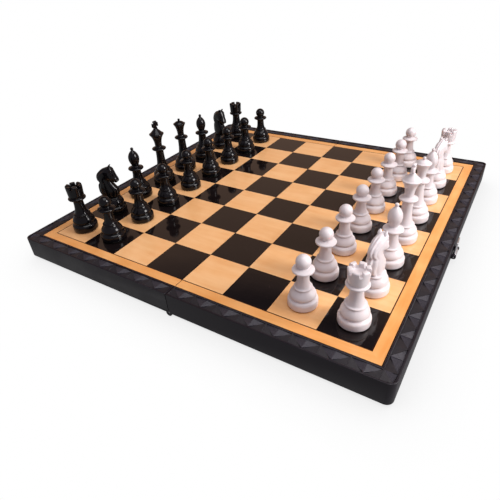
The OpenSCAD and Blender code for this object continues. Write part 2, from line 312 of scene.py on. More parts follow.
def printed_sheet(name, seam_side):
    """The print of one half: seam_side is where its squares begin, plus or minus."""
    made, tree, shader, where = new_material(name)
    axes = add(tree, "SeparateXYZ", {"Vector": where})
    across = calc(tree, "DIVIDE", calc(tree, "SUBTRACT", axes.outputs[0], seam_side), square)
    along = calc(tree, "DIVIDE", axes.outputs[1], square)
    column, row = calc(tree, "FLOOR", across), calc(tree, "FLOOR", along)
    half_sum = calc(tree, "MULTIPLY", calc(tree, "ADD", column, row), 0.5)
    is_dark = calc(tree, "GREATER_THAN", calc(tree, "FRACT", half_sum), 0.25)
    far_x, far_y = calc(tree, "ABSOLUTE", across), calc(tree, "ABSOLUTE", along)
    beyond = calc(tree, "SUBTRACT", calc(tree, "MAXIMUM", far_x, far_y), 4.0)
    is_border = calc(tree, "GREATER_THAN", beyond, 0.0)
    is_line = calc(tree, "LESS_THAN", calc(tree, "ABSOLUTE", calc(tree, "SUBTRACT", beyond, 0.006)), 0.011)
    # Painted shade: the last half millimetre of the border, under the case's lip, is drawn in the dark line
    # colour as the shade the lip casts there.
    painted_lip_shade = calc(tree, "GREATER_THAN", beyond, border_width / square - 0.016)

    seed = add(tree, "CombineXYZ", {"X": calc(tree, "MULTIPLY", row, 0.37),
                                    "Y": calc(tree, "MULTIPLY", column, 0.53),
                                    "Z": calc(tree, "MULTIPLY", half_sum, 0.71)}).outputs[0]
    light_wood = wood(tree, where, seed, (22, 190, 22), linear(246, 193, 137), linear(237, 176, 116))
    side_strip = wood(tree, where, (0.2, 0, 0), (190, 22, 22), linear(240, 178, 112), linear(230, 156, 86))
    end_strip = wood(tree, where, (0, 0.3, 0), (22, 190, 22), linear(240, 178, 112), linear(230, 156, 86))
    strip = mix(tree, calc(tree, "GREATER_THAN", far_y, far_x), side_strip, end_strip)
    black_grain = noise(tree, add(tree, "Mapping", {"Vector": where, "Scale": (60, 900, 60)}).outputs[0], 1)
    dark_wood = mix(tree, black_grain, linear(12, 9, 10), linear(27, 20, 20))

    field = mix(tree, is_dark, light_wood, dark_wood)
    whole = mix(tree, is_border, field, strip)
    # The dark colour is the printed line inside the border and painted lip shade at its outer edge.
    print_line_and_lip_shade = mix(tree, calc(tree, "MAXIMUM", is_line, painted_lip_shade), whole, linear(46, 24, 16))
    fill(tree, shader.inputs["Base Color"], print_line_and_lip_shade)
    smears = noise(tree, where, 28, 3)
    fill(tree, shader.inputs["Roughness"], remap(tree, smears, 0.3, 0.7, 0.045, 0.1))
    fill(tree, shader.inputs["Normal"], bump(tree, noise(tree, where, 70, 1), 0.5, 0.00006))
    return made


border_width = sheet_high.y - 4 * square
prints = {"white": printed_sheet("white_print", grid_x), "black": printed_sheet("black_print", -grid_x)}
print(f"border strip {border_width * 1000:.1f} mm wide")

# %% [markdown]
# Dress the plain CAD parts
#
# The sheets are flat and already the right shape, so they keep their CAD mesh and only
# get a finish.

# %% Materials on the sheets
def dress(node, finish):
    """Gives a CAD node one material."""
    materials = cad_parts[node].data.materials
    materials.clear()
    materials.append(finish)


for side in SIDES:
    dress(side + "_print_sheet", prints[side])
    dress(side + "_steel_sheet", sheet_steel)
print("sheets dressed")

# %% [markdown]
# Surfaces from grids
#
# Nearly every new piece is a grid of points: rows along a profile, columns round an
# axis. One helper joins neighbouring points with four-cornered faces, and one turns
# arrays into a Blender object that rides on a body. Points are worked out for the whole
# grid at once.

# %% Grid helpers
MM = 0.001


def grid_faces(rows, columns, wrap_rows=False, wrap_columns=False):
    """Faces of a grid numbered row by row: each joins a point, its neighbour and the two above."""
    r = np.arange(rows if wrap_rows else rows - 1)[:, None]
    c = np.arange(columns if wrap_columns else columns - 1)[None, :]
    r_next, c_next = (r + 1) % rows, (c + 1) % columns
    return np.stack([r * columns + c, r * columns + c_next,
                     r_next * columns + c_next, r_next * columns + c], -1).reshape(-1, 4)


def joined(*shells):
    """Several (points, faces) shells as one, with the later ones' numbers moved up."""
    points, faces, count = [], [], 0
    for shell_points, shell_faces in shells:
        points.append(shell_points)
        faces += [[int(i) + count for i in face] for face in shell_faces]
        count += len(shell_points)
    return np.concatenate(points), faces


def make_piece(name, points, faces, finish, body, nodes=(), sharp=None):
    """A Blender mesh from points in metres, smooth but for edges sharper than sharp degrees."""
    mesh = bpy.data.meshes.new(name)
    mesh.from_pydata(points.tolist(), [], faces if isinstance(faces, list) else faces.tolist())
    mesh.polygons.foreach_set("use_smooth", np.ones(len(mesh.polygons), bool))
    if sharp is not None:
        mesh.set_sharp_from_angle(angle=math.radians(sharp))
    mesh.materials.append(finish)
    piece = bpy.data.objects.new(name, mesh)
    bpy.context.scene.collection.objects.link(piece)
    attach(piece, body)
    if nodes:
        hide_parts(*nodes)
    return piece


print("grid helpers ready")

# %% [markdown]
# Outlines for turned pieces
#
# A pawn, bishop, queen or king is a turned shape: an outline of radius and height, spun
# about the piece's axis. The outline is drawn with arcs and cubic curves in
# millimetres, rounded a little everywhere as moulded plastic is, and then resampled so
# that points gather where it bends.

# %% Outline tools
def arc(radius, height, size, start, end, steps=10):
    """Circle arc of the given size about (radius, height), from start to end degrees."""
    angle = np.radians(np.linspace(start, end, steps + 1))
    return np.stack([radius + size * np.cos(angle), height + size * np.sin(angle)], 1)


def curve(*controls, steps=16):
    """Cubic curve: the four controls weighted by u3, 3u2t, 3ut2 and t3, with u = 1 - t."""
    t = np.linspace(0, 1, steps + 1)[:, None]
    u = 1 - t
    weights = np.hstack([u ** 3, 3 * u * u * t, 3 * u * t * t, t ** 3])
    return weights @ np.array(controls, float)


def path(*stretches):
    """Stretches of an outline, each an array of points or one point, end to end."""
    return np.concatenate([np.atleast_2d(np.array(s, float)) for s in stretches])


def along(points, count, weight=None):
    """count points evenly spaced along a line of points, or evenly in the weight given."""
    step = np.linalg.norm(np.diff(points, axis=0), axis=1)
    keep = np.r_[True, step > 1e-7]
    points, step = points[keep], step[keep[1:]]
    travelled = np.r_[0, np.cumsum(step if weight is None else step * weight[keep[1:]])]
    at = np.linspace(0, travelled[-1], count)
    return np.stack([np.interp(at, travelled, points[:, k]) for k in range(points.shape[1])], 1)


def moulded(outline, count, softness=0.22):
    """The outline rounded over about softness mm, then resampled with more points in bends."""
    fine = along(outline, int(np.linalg.norm(np.diff(outline, axis=0), axis=1).sum() / 0.08))
    reach = int(4 * softness / 0.08)
    kernel = np.exp(-0.5 * (np.arange(-reach, reach + 1) * 0.08 / softness) ** 2)
    kernel /= kernel.sum()
    mirrored = np.concatenate([2 * fine[0] - fine[reach:0:-1], fine, 2 * fine[-1] - fine[-2:-reach - 2:-1]])
    soft = np.stack([np.convolve(mirrored[:, k], kernel, "valid") for k in range(2)], 1)
    soft[0], soft[-1] = fine[0], fine[-1]
    heading = np.unwrap(np.arctan2(*np.diff(soft, axis=0).T[::-1]))
    bend = np.abs(np.gradient(heading)) / 0.08
    bend = np.convolve(bend, np.ones(9) / 9, "same")
    return along(soft, count, 0.25 + np.minimum(bend, 3))


def turned(outline, sides):
    """Points and faces of an outline spun about the vertical axis: (r cos a, r sin a, z)."""
    rings = outline[1:-1]
    angle = np.linspace(0, 2 * math.pi, sides, endpoint=False)
    spun = np.stack([rings[:, :1] * np.cos(angle), rings[:, :1] * np.sin(angle),
                     np.repeat(rings[:, 1:], sides, 1)], -1).reshape(-1, 3)
    bottom, top = len(spun), len(spun) + 1
    points = np.vstack([spun, [[0, 0, outline[0, 1]], [0, 0, outline[-1, 1]]]])
    here = np.arange(sides)
    after = (here + 1) % sides
    last = len(spun) - sides
    caps = np.vstack([np.stack([np.full(sides, bottom), after, here], 1),
                      np.stack([np.full(sides, top), last + here, last + after], 1)])
    return points, grid_faces(len(rings), sides, wrap_columns=True).tolist() + caps.tolist()


print("outline tools ready")

# %% [markdown]
# The foot that every piece shares
#
# Each piece stands on a felt disc. Above it come a broad base ring with a round
# shoulder, a narrow groove and a bell that flows up into the stem. A blind pocket under
# the foot holds the disc magnet. Only the radii and the bell's top differ from piece to
# piece.

# %% Foot, bell, ring and collar
FOOT, RING, POCKET_R, POCKET_TOP = 0.5, 7.0, 6.1, 3.1


def foot(r):
    """From the roof of the magnet's pocket, out under the foot and up over the base ring."""
    return path([0, POCKET_TOP], [POCKET_R, POCKET_TOP], [POCKET_R, FOOT], [r - 1, FOOT],
                arc(r - 1, FOOT + 1, 1, -90, 0), arc(r - 2.2, RING - 2.2, 2.2, 0, 72),
                [r - 2.3, RING + 0.35], [r - 2.3, RING + 0.75], [r - 1.5, RING + 1.1])


def bell(r, neck, top):
    """Dome from the groove up to a neck."""
    return curve([r - 1.2, RING + 1.6], [r - 1.5, RING + 4.6], [neck + 1.5, top - 2.2], [neck, top])


def step_ring(r, z):
    """Small half-round ring above the bell."""
    return arc(r, z, 0.7, -90, 90)


def collar(r, z, stem, above):
    """Round-edged disc on a stem, with a sloping brim."""
    return path([stem, z - 2.3], [r - 1.3, z - 1.2], arc(r - 0.9, z, 0.9, -60, 60),
                [r - 1.6, z + 1.1], [above, z + 2.2])


print("foot parts ready")

# %% [markdown]
# The turned pieces
#
# Each outline starts at the pocket's roof on the axis and ends on the axis at the top,
# so the spun surface is closed. The radii and heights come from the CAD boxes: a
# piece's box gives its foot radius and its height.

# %% Outlines of pawn, bishop, queen and king
def size_of(node):
    """Foot radius and height of a piece in millimetres, from its box."""
    low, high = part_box(node)
    return (high.y - low.y) / 2 / MM, (high.z - low.z) / MM


PAWN_R, PAWN_H = size_of("white_pawn_a")
ROOK_R, ROOK_H = size_of("white_rook_a")
MINOR_R, BISHOP_H = size_of("white_bishop_c")
QUEEN_R, QUEEN_H = size_of("white_queen_e")
KING_R, KING_H = size_of("white_king_d")


def pawn_outline():
    """Bell foot with a ring, slim stem, brimmed collar and a ball."""
    head = 5.0
    return path(foot(PAWN_R), bell(PAWN_R, 5.7, 14.1), step_ring(5.6, 14.9),
                curve([5.1, 15.7], [4.2, 18], [3.8, 20.5], [3.8, 25.8]),
                collar(7.3, 28.3, 3.8, 3.6), arc(0, PAWN_H - head, head, -38, 90, 24), [0, PAWN_H])


def bishop_outline():
    """Bell foot with a ring, slim stem, collar, a mitre and its small ball."""
    return path(foot(MINOR_R), bell(MINOR_R, 6.7, 13.8), step_ring(6.5, 14.6),
                curve([6, 15.4], [4.6, 18.6], [4.1, 21.5], [4.1, 26.2]),
                collar(7.3, 28.7, 4.1, 3.3),
                curve([3.1, 31.6], [4.2, 34], [7.9, 40.5], [1.1, BISHOP_H - 2.8], steps=24),
                arc(0, BISHOP_H - 1.5, 1.5, -48, 90, 16), [0, BISHOP_H])


def royal_foot(r):
    """Foot and tall stem that the king and the queen share."""
    return path(foot(r), bell(r, 7.1, 13.2), step_ring(6.9, 14),
                curve([6.4, 14.8], [4.6, 18.6], [3.9, 23], [3.9, 33]))


def queen_outline():
    """Flared crown with a low dome and a ball."""
    rim = QUEEN_H - 5.2
    return path(royal_foot(QUEEN_R), collar(7, 35.3, 3.9, 3.5),
                curve([3.3, 38.4], [3.3, 43], [4.3, rim - 3], [6.2, rim - 0.5]),
                arc(5.9, rim - 0.1, 0.4, -20, 80, 6), [5.4, rim + 0.3],
                curve([5.2, rim + 0.4], [4, rim + 2.2], [2, rim + 2.3], [1, rim + 2.6]),
                arc(0, QUEEN_H - 1.3, 1.3, -50, 90, 16), [0, QUEEN_H])


def king_outline():
    """Flared crown with a cone, on which the cross stands."""
    rim = KING_H - 12.4
    return path(royal_foot(KING_R), collar(7, 35.6, 3.9, 3.5),
                curve([3.4, 38.6], [3.4, 43.5], [4.8, rim - 3], [7.1, rim - 0.6]),
                arc(6.7, rim - 0.1, 0.45, -20, 80, 6), [6.2, rim + 0.4],
                curve([6, rim + 0.5], [4.6, rim + 2.6], [2.6, rim + 3.6], [1.9, rim + 5.3]),
                [0, rim + 5.4])


print(f"pawn {PAWN_H:.1f} mm, bishop {BISHOP_H:.1f} mm, queen {QUEEN_H:.1f} mm, king {KING_H:.1f} mm")

# %% [markdown]
# The king's cross
#
# The cross on the king is a flat, flared cross with soft edges. Its outline is one
# quarter, an arm that widens from its root to its end, turned four times. The thickness
# is a profile carried round that outline: each ring is the outline drawn in a little,
# and the two faces are closed by one face each.

# %% King's cross
def cross(height, reach, thickness):
    """Flared cross in the XZ plane about (0, height): rings of the outline, inset at both faces."""
    arm = path([1.2, 1.2], curve([1.2, 1.4], [1.25, 2.2], [1.5, 2.9], [2.1, reach - 0.4], steps=5),
               [1.8, reach], [0, reach + 0.08], [-1.8, reach],
               curve([-2.1, reach - 0.4], [-1.5, 2.9], [-1.25, 2.2], [-1.2, 1.4], steps=5))
    quarter_turns = [np.array([[math.cos(a), math.sin(a)], [-math.sin(a), math.cos(a)]])
                     for a in np.arange(4) * math.pi / 2]
    outline = np.concatenate([arm @ q for q in quarter_turns])
    depth = np.array([-0.5, -0.42, -0.28, 0.28, 0.42, 0.5]) * thickness
    inset = np.array([0.82, 0.93, 1.0, 1.0, 0.93, 0.82])
    rings = np.stack([np.column_stack([outline[:, 0] * k, np.full(len(outline), d),
                                       height + outline[:, 1] * k]) for d, k in zip(depth, inset)])
    n = len(outline)
    faces = grid_faces(len(depth), n, wrap_columns=True).tolist()
    last = (len(depth) - 1) * n
    return rings.reshape(-1, 3), faces + [list(range(n))[::-1], [last + i for i in range(n)]]


print("cross reaches", 3.7, "mm each way")

# %% [markdown]
# The rook
#
# The rook is turned like the others, but its crown is cut by six slots into rounded
# merlons. Two outlines describe it, one through a merlon and one through a slot, with
# the same number of points. Going round, the surface is one or the other, with a short
# soft change between them, so it stays a single closed grid.

# %% Rook
def rook_outline(rim):
    """Rook with its crown as high as rim: the wall outside, the rim, the wall inside, the floor."""
    wall = curve([6.4, 32.7], [6.5, 35], [6.7, 38], [6.9, ROOK_H], steps=24)
    level = np.linspace(32.7, rim, 24)
    outside = np.stack([np.interp(level, wall[:, 1], wall[:, 0]), level], 1)
    r = outside[-1, 0]
    lower = moulded(path(foot(ROOK_R), bell(ROOK_R, 6.7, 14.4), step_ring(6.5, 15.2),
                         curve([6, 16], [4.7, 18.6], [4.1, 22], [4.1, 27.6]),
                         collar(7.4, 30.2, 4.1, 6.3), [6.4, 32.7]), 64)
    crown = path(along(outside, 15)[1:-2], arc(r - 0.9, rim - 0.9, 0.9, 0, 90, 5),
                 arc(4.5, rim - 0.6, 0.6, 90, 180, 4),
                 np.stack([np.full(8, 3.9), np.linspace(rim - 0.8, ROOK_H - 3.0, 8)], 1),
                 [3.5, ROOK_H - 3.35], [2.6, ROOK_H - 3.4], [1.3, ROOK_H - 3.4], [0, ROOK_H - 3.4])
    return path(lower, crown)


def rook(merlons=6, per_merlon=16):
    """The merlon outline where share is 0 and the slot outline where it is 1, going round."""
    points, faces = turned(rook_outline(ROOK_H), merlons * per_merlon)
    cut, _ = turned(rook_outline(ROOK_H - 2.7), merlons * per_merlon)
    steps = np.array([0, 0.06, 0.12, 0.145, 0.165, 0.185, 0.21, 0.28, 0.39, 0.5, 0.61, 0.72, 0.79, 0.815,
                      0.835, 0.87])
    angle = (np.arange(merlons)[:, None] + steps).ravel() * 2 * math.pi / merlons
    from_slot = np.abs((np.tile(steps, merlons) + 0.5) % 1 - 0.5)
    share = np.clip((0.2 - from_slot) / 0.075, 0, 1)
    share = share * share * (3 - 2 * share)
    rings = (len(points) - 2) // len(angle)
    share = np.r_[np.tile(share, rings), 0, 0][:, None]
    radius = np.hypot(points[:, 0], points[:, 1])[:, None] * (1 - share)
    radius += np.hypot(cut[:, 0], cut[:, 1])[:, None] * share
    around = np.r_[np.tile(angle, rings), 0, 0]
    height = points[:, 2:] * (1 - share) + cut[:, 2:] * share
    return np.column_stack([radius[:, 0] * np.cos(around), radius[:, 0] * np.sin(around), height]), faces


print("rook", len(rook()[0]), "points")

# %% [markdown]
# The knight
#
# The horse's head isn't turned. It is a body of cross-sections: each section joins a
# point on the front line, from chest to throat and chin, to a point on the back line,
# from the mane over the ears to the muzzle. The section is a rounded oval that is
# thinner along the mane. Going up the neck the sections swing round the throat until
# they lie across the muzzle. Soft bumps and dents, pushed sideways, then make the
# cheek, the eye socket, the nostril and the mouth. Wavy grooves down the back of the neck
# part the mane into locks.

# %% Knight: sections
FRONT = [[6.7, 14.9], [7.7, 17.6], [8.2, 21.2], [7.8, 23.2], [6.6, 24.9], [5.4, 26.6], [4.3, 28.4],
         [3.5, 30.0], [3.3, 30.7], [3.3, 31.1], [3.4, 31.3], [3.6, 31.2], [3.9, 31.0], [4.4, 30.6],
         [4.9, 30.2], [5.5, 29.8], [6.0, 29.4], [6.5, 29.1], [7.0, 28.9], [7.5, 28.9], [8.1, 29.1],
         [8.8, 29.5]]
BACK = [[-6.7, 14.9], [-8.6, 16.8], [-9.7, 19.8], [-9.9, 22.4], [-9.8, 24.9], [-9.3, 27.2],
        [-8.1, 29.2], [-9.2, 31.2], [-9.6, 33.4], [-9.2, 35.8], [-8.0, 38.0], [-5.6, 40.2],
        [-2.8, 42.0], [0.8, 43.4], [3.6, 44.1], [6.0, 43.4], [7.2, 40.8], [8.1, 38.0], [8.8, 35.6],
        [9.5, 33.6], [10.1, 32.0], [10.3, 30.9]]
HALF_WIDTH = [5.0, 5.2, 5.2, 5.0, 4.8, 4.6, 4.4, 4.2, 4.1, 4.0, 4.0, 4.1, 4.2, 4.2, 4.1, 3.9, 3.5,
              3.1, 2.9, 2.7, 2.5, 1.8]


def splined(values, count):
    """Smooth curve through the values: between two of them a cubic that leaves and arrives along
    the chords of their neighbours."""
    v = np.array(values, float).reshape(len(values), -1)
    padded = np.vstack([2 * v[0] - v[1], v, 2 * v[-1] - v[-2]])
    at = np.linspace(0, len(v) - 1, count)
    i = np.minimum(at.astype(int), len(v) - 2)
    t = (at - i)[:, None]
    a, b, c, d = padded[i], padded[i + 1], padded[i + 2], padded[i + 3]
    return b + 0.5 * t * (c - a + t * (2 * a - 5 * b + 4 * c - d + t * (3 * (b - c) + d - a)))


def swell(points, centre, reach, height):
    """Sideways push of height at centre, fading over reach as a bell curve, in the side view."""
    away = ((points[:, 0] - centre[0]) ** 2 + (points[:, 2] - centre[1]) ** 2) / reach ** 2
    return height * np.exp(-away)


def knight_head(stations=96, sides=64):
    """Ovals from the front line to the back line, with y pushed out and in for the features."""
    front, back = splined(FRONT, stations), splined(BACK, stations)
    half_width = splined(HALF_WIDTH, stations)
    angle = np.linspace(0, 2 * math.pi, sides, endpoint=False)
    cos, sin = np.cos(angle), np.sin(angle)
    fore = np.sign(cos) * np.abs(cos) ** 0.85
    side = np.sign(sin) * np.abs(sin) ** 0.85
    station = np.linspace(0, 1, stations)[:, None]
    neck = np.clip((0.62 - station) / 0.12, 0, 1)
    thin = 1 - (0.18 + 0.34 * neck) * np.clip(-fore, 0, 1) ** 2
    from_back = np.abs(angle - math.pi)
    mane = np.clip((1.25 - from_back) / 0.15, 0, 1) * np.clip((0.62 - station) / 0.05, 0, 1)
    locks = 0.5 + 0.5 * np.cos(10 * from_back + 0.9 * np.sin(20 * station) * np.minimum(from_back, 1))
    grown = 1 + mane * (0.07 - 0.15 * locks ** 1.5)
    flat = ((front[:, None] + back[:, None]) / 2
            + (front - back)[:, None] / 2 * (fore * (1 + (grown - 1) * 0.6))[..., None])
    y = half_width * side * thin * (1 + (grown - 1) * 1.4)
    points = np.column_stack([flat[..., 0].ravel(), y.ravel(), flat[..., 1].ravel()])
    push = (swell(points, (4.6, 33.4), 2.9, 0.8) + swell(points, (5.2, 39.3), 1.15, -0.75)
            + swell(points, (5.4, 41.3), 1.2, 0.5) + swell(points, (8.9, 32.4), 1.1, 0.4)
            + swell(points, (9.3, 31.9), 0.5, -0.7) + swell(points, (6.8, 35.8), 1.4, -0.35)
            + swell(points, (8.4, 30.4), 0.45, -0.5) + swell(points, (7.5, 30.4), 0.45, -0.45))
    points[:, 1] += push * np.sign(points[:, 1]) * np.minimum(np.abs(points[:, 1]) / 1.5, 1)
    ends = np.array([[(front[0, 0] + back[0, 0]) / 2, 0, front[0, 1] - 0.6], [9.8, 0, 30.1]])
    here = np.arange(sides)
    after = (here + 1) % sides
    count, last = stations * sides, (stations - 1) * sides
    caps = [[count, int(b), int(a)] for a, b in zip(here, after)]
    caps += [[count + 1, last + int(a), last + int(b)] for a, b in zip(here, after)]
    faces = grid_faces(stations, sides, wrap_columns=True).tolist() + caps
    return np.vstack([points, ends]), faces


print("knight's head", len(knight_head()[0]), "points")

# %% Knight: ears, eyes and foot
def ball(centre, radii, rings=10, sides=16):
    """Closed egg: a half circle spun about the vertical axis, then scaled and moved."""
    outline = arc(0, 0, 1, -90, 90, rings)
    outline[[0, -1], 0] = 0
    points, faces = turned(outline, sides)
    return points * radii + centre, faces


def ear(side, rings=14, sides=20):
    """Pointed leaf: ovals that shrink towards a tip leaning forward, hollowed in front."""
    t = np.linspace(0, 1, rings)[:, None]
    angle = np.linspace(0, 2 * math.pi, sides, endpoint=False)
    swelling = 0.85 * np.sqrt(np.clip(1 - t ** 2.2, 0, 1)) * (1 + 0.25 * np.sin(math.pi * t))
    hollow = 1 - 0.55 * np.clip(np.cos(angle), 0, 1) ** 2 * np.sin(math.pi * np.minimum(t * 1.15, 1))
    x = 2.6 + 1.9 * t + 1.2 * swelling * np.cos(angle) * hollow
    y = side * (1.9 + 0.4 * t) + 1.3 * swelling * np.sin(angle)
    z = 42.4 + 2.9 * t + 0 * angle
    points = np.column_stack([x.ravel(), y.ravel(), z.ravel()])
    n = rings * sides
    here, after = np.arange(sides), (np.arange(sides) + 1) % sides
    caps = [[n, int(b), int(a)] for a, b in zip(here, after)]
    caps += [[n + 1, n - sides + int(a), n - sides + int(b)] for a, b in zip(here, after)]
    ends = np.array([[2.6, side * 1.9, 42.2], [4.5, side * 2.3, 45.34]])
    return np.vstack([points, ends]), grid_faces(rings, sides, wrap_columns=True).tolist() + caps


def knight():
    """Turned foot with the head, two ears and two eyes standing in it."""
    base = moulded(path(foot(MINOR_R), bell(MINOR_R, 7.3, 14), step_ring(7, 14.8), [6.5, 15.55],
                        [0, 15.7]), 60)
    eyes = [ball((5.2, side * 3.2, 39.3), (0.85, 0.7, 0.75)) for side in (1, -1)]
    return joined(turned(base, 80), knight_head(), ear(1), ear(-1), *eyes)


print("knight", len(knight()[0]), "points")

# %% [markdown]
# Stand the 32 pieces on the board
#
# Each kind is worked out once and copied to its places. The knights are turned by hand
# in the starting position, each its own way, and the king's cross faces the players.
# Every piece also gets its felt disc and its magnet, which ride with it.

# %% Shapes of the six kinds
KNIGHT_TURNS = {"black_knight_b": 28, "black_knight_g": -15, "white_knight_b": 76, "white_knight_g": 78}
SHAPES = {
    "pawn": turned(moulded(pawn_outline(), 74), 72),
    "rook": rook(),
    "knight": knight(),
    "bishop": turned(moulded(bishop_outline(), 92), 80),
    "queen": turned(moulded(queen_outline(), 104), 88),
    "king": joined(turned(moulded(king_outline(), 100), 88), cross(KING_H - 3.7, 3.7, 2.4)),
}
FOOT_RADIUS = {"pawn": PAWN_R, "rook": ROOK_R, "knight": MINOR_R, "bishop": MINOR_R,
               "queen": QUEEN_R, "king": KING_R}


def about_vertical(points, degrees):
    """Points turned about the vertical axis."""
    c, s = math.cos(math.radians(degrees)), math.sin(math.radians(degrees))
    return points @ np.array([[c, s, 0], [-s, c, 0], [0, 0, 1]])


def disc(radius, low, high, sides=48):
    """Flat disc with a slightly rounded edge."""
    edge = 0.12
    return turned(path([0, low], [radius - edge, low], [radius, low + edge], [radius, high - edge],
                       [radius - edge, high], [0, high]), sides)


FINISH = {"white": white_plastic, "black": black_plastic}


def stand(side, kind, file, row):
    """One chess piece with its felt and magnet, on its square."""
    node = f"{side}_{kind}_{FILES[file]}"
    x = (1 if side == "white" else -1) * (grid_x + (3.5 - row) * square)
    place = np.array([x, (file - 3.5) * square, foot_z])
    points, faces = SHAPES[kind]
    angle = KNIGHT_TURNS.get(node, 90 if kind == "king" else 0)
    make_piece(node + "_body", about_vertical(points, angle) * MM + place, faces, FINISH[side], node,
               [node], sharp=50)
    points, faces = disc(FOOT_RADIUS[kind] - 1.4, 0, FOOT - 0.05)
    make_piece(node + "_felt", points * MM + place, faces, green_felt, node, sharp=40)
    points, faces = disc(POCKET_R - 0.1, FOOT, POCKET_TOP - 0.1)
    make_piece(node + "_magnet", points * MM + place, faces, magnet_grey, node, sharp=40)


for side in SIDES:
    for file in range(8):
        stand(side, BACK_ROW[file], file, 0)
        stand(side, "pawn", file, 1)
print("pieces:", sum(len(m.polygons) for m in bpy.data.meshes if m.name.endswith("_body")), "faces")

# %% [markdown]
# The moulded case
#
# The CAD case is right, but its edges are knife-sharp, and a real moulding never is: a
# thin line of light runs along every edge. The CAD mesh is loose triangles, so a copy is
# merged and its flat faces joined, and then only the long outer edges are rounded: the
# top rim by a little, the bottom rim by more, where the mould's walls turn under.

# %% Case halves
def lies_on_top(edge):
    """True for an edge on the frame's upper face."""
    return all(abs(v.co.z - frame_top) < 1e-5 for v in edge.verts)


def lies_on_mouth(edge, mouth_z):
    """True for an edge round the outside of the case's open mouth."""
    middle_of = (edge.verts[0].co + edge.verts[1].co) / 2
    out = max(abs(middle_of.x) - half_x, abs(middle_of.y) - half_y)
    return all(abs(v.co.z - mouth_z) < 1e-5 for v in edge.verts) and out > -0.0016


def is_outer_corner(edge):
    """True where two faces meet at more than 30 degrees and stand out."""
    return (len(edge.link_faces) == 2 and edge.is_convex
            and edge.calc_face_angle(0) > math.radians(30))


def softened_case(node, name, body):
    """Merged copy of a case half with its upper and lower outer edges rounded."""
    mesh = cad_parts[node].data.copy()
    mesh.name = name
    shape = bmesh.new()
    shape.from_mesh(mesh)
    bmesh.ops.remove_doubles(shape, verts=shape.verts, dist=2e-6)
    bmesh.ops.dissolve_limit(shape, angle_limit=math.radians(0.5), verts=shape.verts, edges=shape.edges)
    mouth_z, top_round, mouth_round = 2.75 * MM, 0.3 * MM, 0.7 * MM
    for chosen, width in ((lies_on_top, top_round), (lambda e: lies_on_mouth(e, mouth_z), mouth_round)):
        edges = [e for e in shape.edges if is_outer_corner(e) and chosen(e)]
        bmesh.ops.bevel(shape, geom=edges, offset=width, segments=3, profile=0.5, affect="EDGES",
                        clamp_overlap=True)
    shape.to_mesh(mesh)
    shape.free()
    mesh.polygons.foreach_set("use_smooth", np.ones(len(mesh.polygons), bool))
    mesh.set_sharp_from_angle(angle=math.radians(28))
    mesh.materials.clear()
    mesh.materials.append(case_plastic)
    piece = bpy.data.objects.new(name, mesh)
    bpy.context.scene.collection.objects.link(piece)
    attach(piece, body)
    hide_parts(node)
    print(name, len(mesh.polygons), "faces")
    return piece


for side in SIDES:
    softened_case(side + "_case_half", side + "_case_shell", side + "_half")

# %% [markdown]
# The faceted frame
#
# The rim of the case is pressed with a zigzag of triangles that point outwards and
# inwards by turns. Along the two ends the outward ones are smooth and the inward ones
# finely hatched, and along the outer edge it is the other way round. Each is folded
# along its middle. In numbers: the strip is cut into cells, each cell by
# a diagonal into two right triangles, and each triangle slopes down from its own tip.
# A triangle is a small grid of lines that run parallel to the diagonal, so a hatch is
# just every second line pushed down.

# %% Facets of one strip
CHANNEL, RAIL = 1.0 * MM, 1.4 * MM
FRAME, CLEAR = 10.3 * MM, 0.02 * MM
inner_x = half_x - FRAME + RAIL
inner_y = half_y - FRAME + RAIL
outer_x, outer_y = half_x - RAIL - CLEAR, half_y - RAIL - CLEAR
TIP, FOOT_DROP, CORNER_DROP = 0.05 * MM, 0.5 * MM, 0.93 * MM


def wedge(tip, far, foot_point, lines, hatch):
    """Closed block on the right triangle tip, far, foot_point. Line s runs from tip to far, moved a
    share s of the way to foot_point; every second line is hatch lower. Each point is (x, y, height)."""
    s = np.linspace(0, 0.97, lines)[:, None]
    first, second = tip + s * (foot_point - tip), far + s * (foot_point - far)
    top = np.stack([first, second], 1)
    top[1::2, :, 2] -= hatch
    bottom = top.copy()
    bottom[..., 2] = frame_top - CHANNEL - CLEAR
    ring = np.concatenate([top, bottom[:, ::-1]], 1)
    n = lines * 4
    faces = grid_faces(lines, 4, wrap_columns=True).tolist()
    return ring.reshape(-1, 3), faces + [[0, 1, 2, 3], [n - 1, n - 2, n - 3, n - 4]]


def bar(start, end, width):
    """Thin raised line from start to end, a closed box with a narrower top."""
    run = (end - start) / np.linalg.norm(end - start)
    across = np.cross([0, 0, 1], run)
    across /= np.linalg.norm(across)
    corners = [(-1, -0.3), (1, -0.3), (0.45, 0.16), (-0.45, 0.16)]
    ends = [[p + across * width / 2 * a + np.array([0, 0, h * MM]) for a, h in corners]
            for p in (start, end)]
    faces = grid_faces(2, 4, wrap_columns=True).tolist() + [[3, 2, 1, 0], [4, 5, 6, 7]]
    return np.array(ends).reshape(-1, 3), faces


HATCH_LINES, HATCH_DEPTH = 25, 0.1 * MM
PITCH = 18.57 * MM


